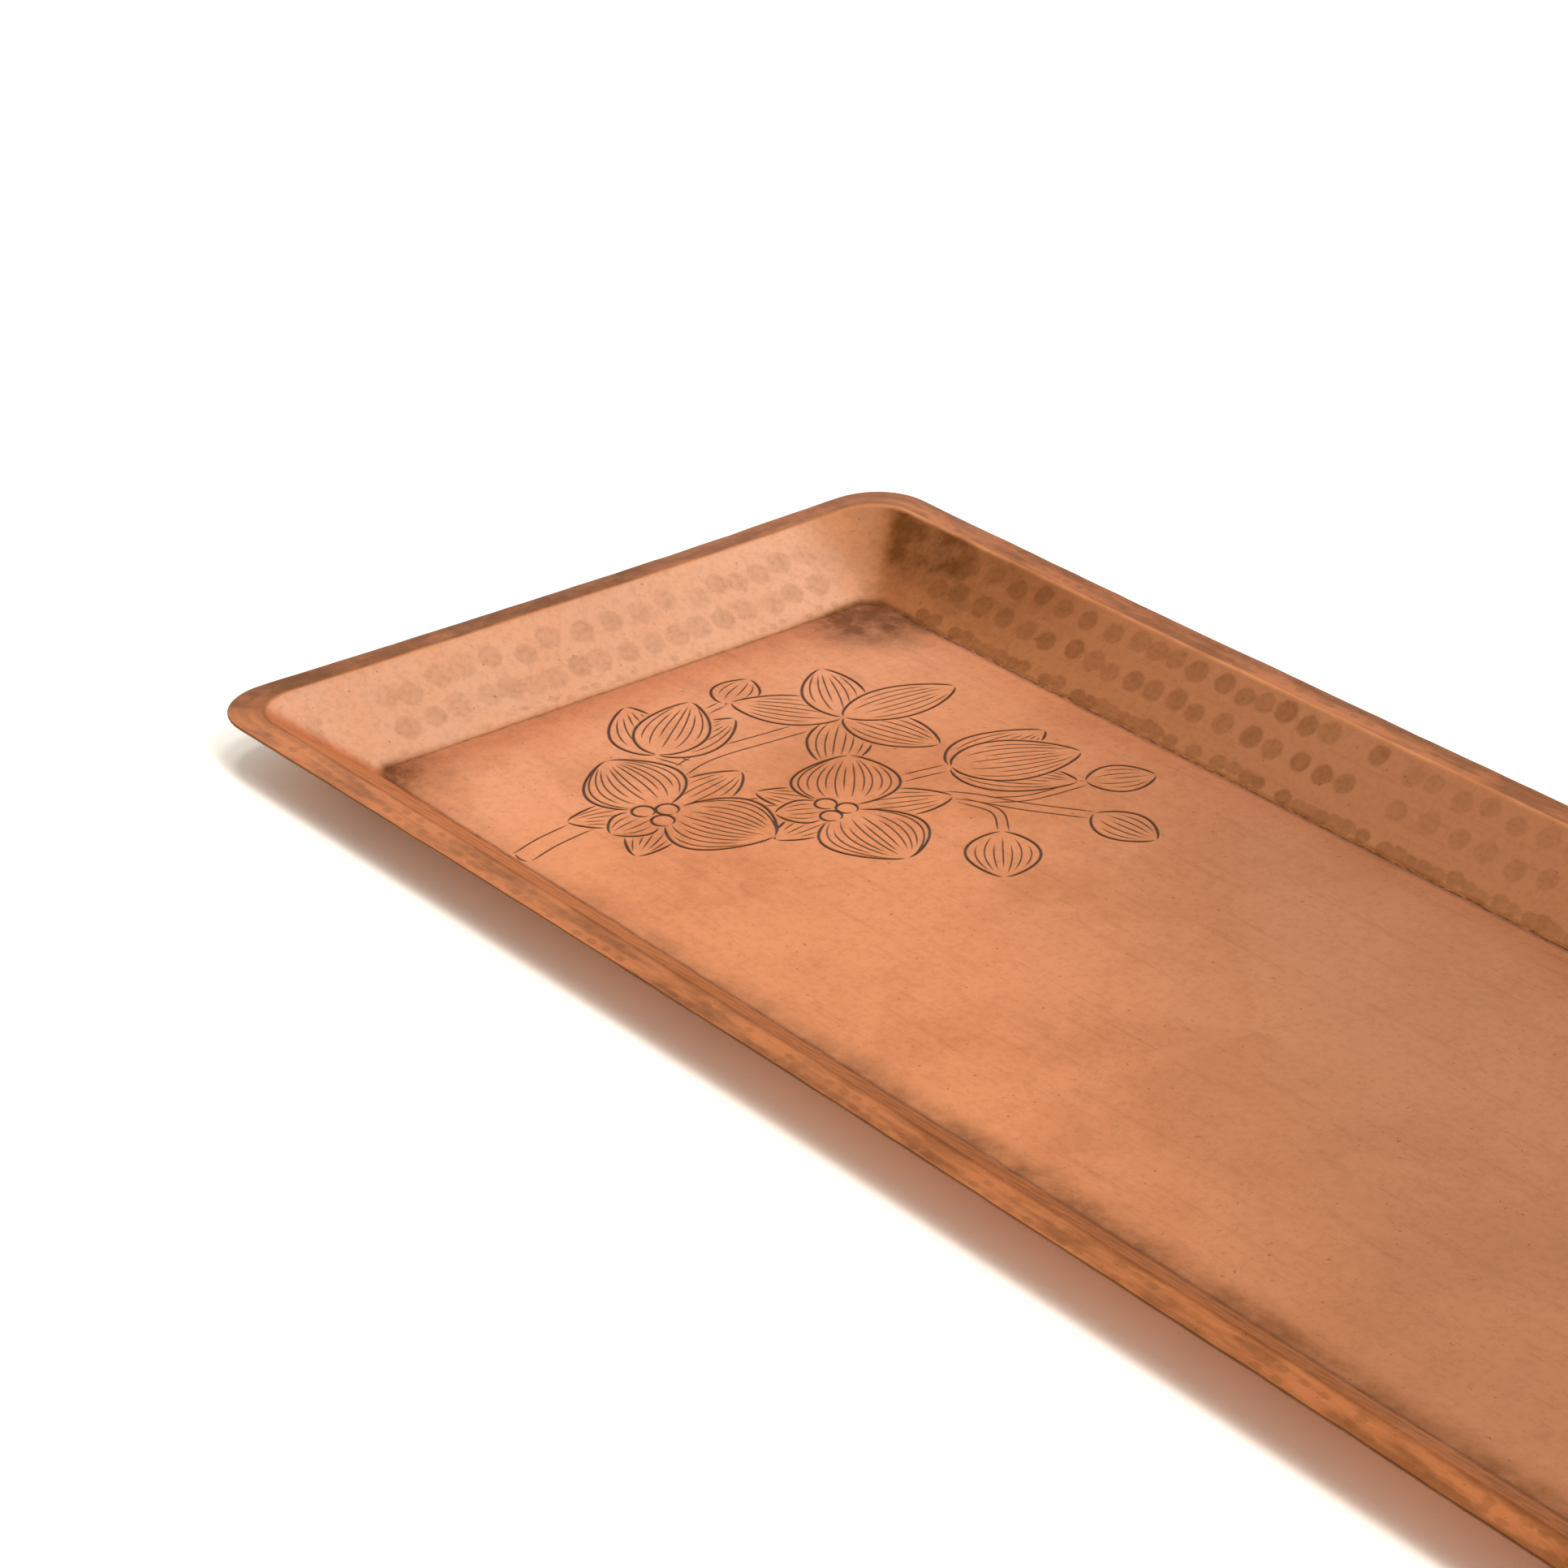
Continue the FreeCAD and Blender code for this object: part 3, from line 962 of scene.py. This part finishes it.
def fold_lines(n, at, colour):
    """A soft brown band with a sharp dark line in it, which wander along the fold of the floor."""
    swing = n.drawn_out(at.rim_place, (0.09, 0.0, 1.0), 3.0, 0.6)
    wander = n.times(n.maths("SUBTRACT", swing, 0.5), 2.4)
    away = n.maths("ABSOLUTE", n.maths("ADD", n.maths("ADD", at.up, 0.3), wander))
    breaks = n.drawn_out(at.rim_place, (0.30, 0.9, 1.0), 4.0, 0.7)
    band = n.times(n.step(away, 0.3, 2.6, 1, 0), n.step(breaks, 0.3, 0.65, 0.3, 0.75))
    line = n.times(n.step(away, 0.1, 0.7, 1, 0), n.step(breaks, 0.35, 0.6, 0.2, 0.8))
    colour = n.mix(n.times(band, at.crease, at.on_upper), colour, BROWN)
    return n.mix(n.times(line, n.step(at.crease, 0.2, 0.8, 0.55, 1.0), at.on_upper), colour, DARK)


def painted_ridge_highlight(n, at, colour):
    """Painted highlight: a bright line along the ridge, broken in places."""
    line = n.step(n.away_from(at.up, WALL_LENGTH - 0.2), 0.2, 1.3, 1, 0)
    breaks = n.step(n.drawn_out(at.rim_place, (0.03, 0.0, 1.0), 4.0, 0.6), 0.35, 0.65, 0.1, 0.75)
    return n.mix(n.times(line, breaks, at.rub, at.upper), colour, HIGHLIGHT)


def specks_and_grooves(n, at, colour):
    """Dark specks all over, and dark metal in the engraved grooves."""
    specks = n.step(n.noise(at.place, 520.0, 1.0, 0.5), 0.74, 0.80, 0, 0.4)
    colour = n.mix(specks, colour, DARK)
    return n.mix(n.step(at.groove, 0.0, 0.7, 0, 0.97), colour, DARK)


def shaded_edge_and_underside(n, at, colour):
    """Painted shade: the cut edge darkened as if in shadow, and an underside browner towards its left end,
    so that it bounces less light onto the ground under that end.
    """
    # Painted shade: the cut edge darkened as if in shadow.
    colour = n.mix(n.step(n.away_from(at.upper, 0.5), 0.1, 0.45, 0.8, 0), colour, DARK)
    underside = n.step(at.upper, 0.1, 0.45, 1, 0)
    metres_along = n.add("ShaderNodeSeparateXYZ", {0: at.place}).outputs["X"]
    # Painted shade: the underside browner towards the left end, so that less light bounces under it.
    bounce_shade = n.step(metres_along, -0.34, 0.06, 0.5, 0.0)
    colour = n.mix(n.times(underside, 0.7), colour, UNDERSIDE)
    return n.mix(n.times(underside, bounce_shade), colour, BROWN)


def roughness(n, at):
    """Smoother where the metal is clean, and matt on walls and on ridges where the painted ridge highlight
    is weak.
    """
    rough = n.step(n.maths("ADD", n.times(at.worn, 0.5), n.times(at.grain, 0.5)), 0.2, 0.8, 0.32, 0.46)
    without_highlight = n.step(at.rub, 0.15, 0.45, 0.4, 0)
    below_lip = n.step(at.up, WALL_LENGTH + 0.2, WALL_LENGTH + 1.8, 1, 0)
    off_floor = n.maths("SUBTRACT", 1.0, at.on_floor)
    return n.maths("ADD", rough, n.times(without_highlight, below_lip, off_floor))


def relief(n, at):
    """The bump of a fine grain all over and of fine scratches along the floor."""
    scratches = n.drawn_out(at.place, (30.0, 1500.0, 30.0), 2.0, 0.6)
    height = n.maths("ADD", n.times(at.grain, 0.5), n.times(scratches, at.on_floor))
    return n.add("ShaderNodeBump", {"Height": height, "Strength": 0.12, "Distance": 0.0001}).outputs[0]


# The layers over the bare metal, each laid over the one before.
LAYERS = (
    sheen_on_ends,
    floor_lines,
    wall_tarnish,
    lip_patina,
    dent_discs,
    stain_and_shade_patches,
    fold_lines,
    painted_ridge_highlight,
    specks_and_grooves,
    shaded_edge_and_underside,
)


def copper():
    """Worn copper: clean where it was rubbed, brown in the grooves, dents, folds and lip."""
    material = bpy.data.materials.new("worn_copper")
    material.use_nodes = True
    n = Nodes(material.node_tree)
    at = copper_facts(n)
    colour = bare_metal(n, at)
    for layer in LAYERS:
        colour = layer(n, at, colour)
    surface = {"Base Color": colour, "Metallic": 1.0, "Roughness": roughness(n, at), "Normal": relief(n, at)}
    shader = n.add("ShaderNodeBsdfPrincipled", surface)
    n.add("ShaderNodeOutputMaterial", {"Surface": shader.outputs[0]})
    return material


def matt_white():
    """The studio's floor: warm white, without gloss."""
    material = bpy.data.materials.new("studio_white")
    material.use_nodes = True
    shader = material.node_tree.nodes["Principled BSDF"]
    shader.inputs["Base Color"].default_value = (0.93, 0.90, 0.82, 1)
    shader.inputs["Roughness"].default_value = 0.9
    shader.inputs["Specular IOR Level"].default_value = 0.0
    return material


# ---------------------------------------------------------------- the studio


def studio_floor():
    """A broad pale floor, a hair under the tray so that the two never coincide."""
    size = 12.0
    level = tray_low.z - 0.1 * MM
    corners = [(-size, -size, level), (size, -size, level), (size, size, level), (-size, size, level)]
    mesh = bpy.data.meshes.new("studio_floor")
    mesh.from_pydata(corners, [], [(0, 1, 2, 3)])
    floor = bpy.data.objects.new("studio_floor", mesh)
    bpy.context.scene.collection.objects.link(floor)
    mesh.materials.append(matt_white())


def studio_sky():
    """Light from all round, with a soft window behind the left end that the tray's floor mirrors."""
    world = bpy.data.worlds.new("studio")
    bpy.context.scene.world = world
    world.use_nodes = True
    n = Nodes(world.node_tree)
    direction = n.add("ShaderNodeTexCoord").outputs["Generated"]

    def toward(x, y, z):
        node = n.add("ShaderNodeVectorMath", {0: direction, 1: (x, y, z)}, operation="DOT_PRODUCT")
        return node.outputs["Value"]

    window_rim, window_core = math.cos(math.radians(22)), math.cos(math.radians(5))
    window = n.step(toward(-0.80, 0.33, 0.50), window_rim, window_core, 0, 0.4)
    all_round = n.maths("ADD", toward(0.14, 0.26, 0.0), 0.80)
    strength = n.maths("ADD", all_round, window)
    background = n.add("ShaderNodeBackground", {"Color": (1.0, 0.975, 0.93, 1), "Strength": strength})
    n.add("ShaderNodeOutputWorld", {"Surface": background.outputs[0]})


def studio_lamps():
    """Soft lamps overhead that lean further and further over, for a shadow without a hard edge."""
    for lean, strength in ((8, 0.6), (28, 0.75), (44, 1.0), (60, 1.4)):
        lamp = bpy.data.lights.new("overhead", "SUN")
        lamp.energy = strength
        lamp.angle = math.radians(11)
        overhead = bpy.data.objects.new("overhead", lamp)
        overhead.rotation_euler = (math.radians(6.5), math.radians(lean), 0)
        overhead.visible_glossy = False
        bpy.context.scene.collection.objects.link(overhead)


def camera():
    """A long lens from above the near right, which leaves the tray's right end out of the frame."""
    azimuth, elevation = math.radians(50.83), math.radians(27.256)
    data = bpy.data.cameras.new("camera")
    data.sensor_width = 36.0
    data.lens = 92.98
    data.dof.use_dof = False
    view = bpy.data.objects.new("camera", data)
    view.location = (0.7244, -0.7742, 0.6258)
    view.rotation_euler = (math.pi / 2 - elevation, 0, azimuth)
    bpy.context.scene.collection.objects.link(view)
    bpy.context.scene.camera = view


camera()
studio_floor()
studio_sky()
studio_lamps()
bpy.context.scene.view_settings.view_transform = "Standard"

tray = build_tray()
tray.data.materials.append(copper())
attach(tray, "root")
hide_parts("tray")
